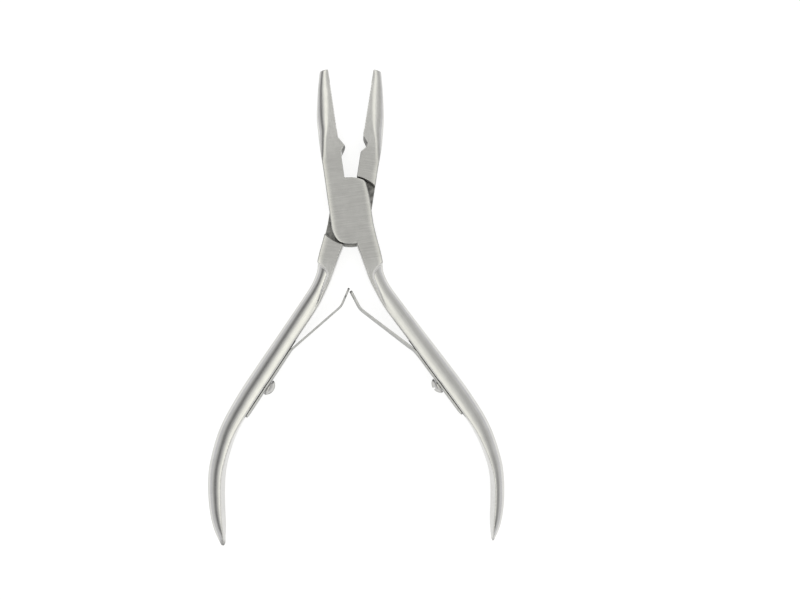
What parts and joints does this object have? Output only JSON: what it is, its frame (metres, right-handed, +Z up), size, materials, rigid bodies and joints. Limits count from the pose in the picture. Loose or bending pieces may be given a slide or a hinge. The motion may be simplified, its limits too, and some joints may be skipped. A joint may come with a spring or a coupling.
{
  "type": "crimping pliers",
  "caption": "Small lap-joint crimping pliers with serrated tapering jaws, a beak and notch behind them, bowed handles and a leaf spring on each handle.",
  "frame": {"origin": "pivot axis of the joint, on the plane that the tool lies on", "axes": "+Y from the handles to the jaw tips, +Z up along the pivot axis, out of the front plate"},
  "size_m": [0.0788, 0.1263, 0.006],
  "materials": {
    "satin_steel": "satin-ground stainless steel, brushed across the joint and along the handles, edges polished by tumbling",
    "rivet_steel": "ground flush with the plate",
    "spring_steel": "rolled spring strip, lightly brushed along its length",
    "screw_steel": "turned steel screw with a slotted domed head"
  },
  "bodies": {
    "front_half": {"jaw_handle_front": "satin_steel", "pivot_rivet": "rivet_steel", "spring_base_right": "spring_steel", "spring_screw_right": "screw_steel"},
    "back_half": {"jaw_handle_back": "satin_steel", "spring_base_left": "spring_steel", "spring_screw_left": "screw_steel"},
    "right_spring_arm": {"spring_arm_right": "spring_steel"},
    "left_spring_arm": {"spring_arm_left": "spring_steel"}
  },
  "joints": [
    {"name": "handles_close", "type": "hinge", "parent": "front_half", "child": "back_half", "pos_m": [0, 0, 0.003], "axis": [0, 0, 1], "range_deg": [0, 18], "stiffness_Nm_per_rad": 0.6, "springref_deg": -6.88},
    {"name": "right_spring_bends", "type": "hinge", "parent": "front_half", "child": "right_spring_arm", "pos_m": [0.01708, -0.037, 0.003], "axis": [0, 0, 1], "range_deg": [-10, 0]},
    {"name": "left_spring_bends", "type": "hinge", "parent": "back_half", "child": "left_spring_arm", "pos_m": [-0.01573, -0.03675, 0.003], "axis": [0, 0, 1], "range_deg": [0, 10]}
  ],
  "couplings": [
    {"joint": "right_spring_bends", "follows": "handles_close", "ratio": -0.55},
    {"joint": "left_spring_bends", "follows": "handles_close", "ratio": 0.53}
  ]
}
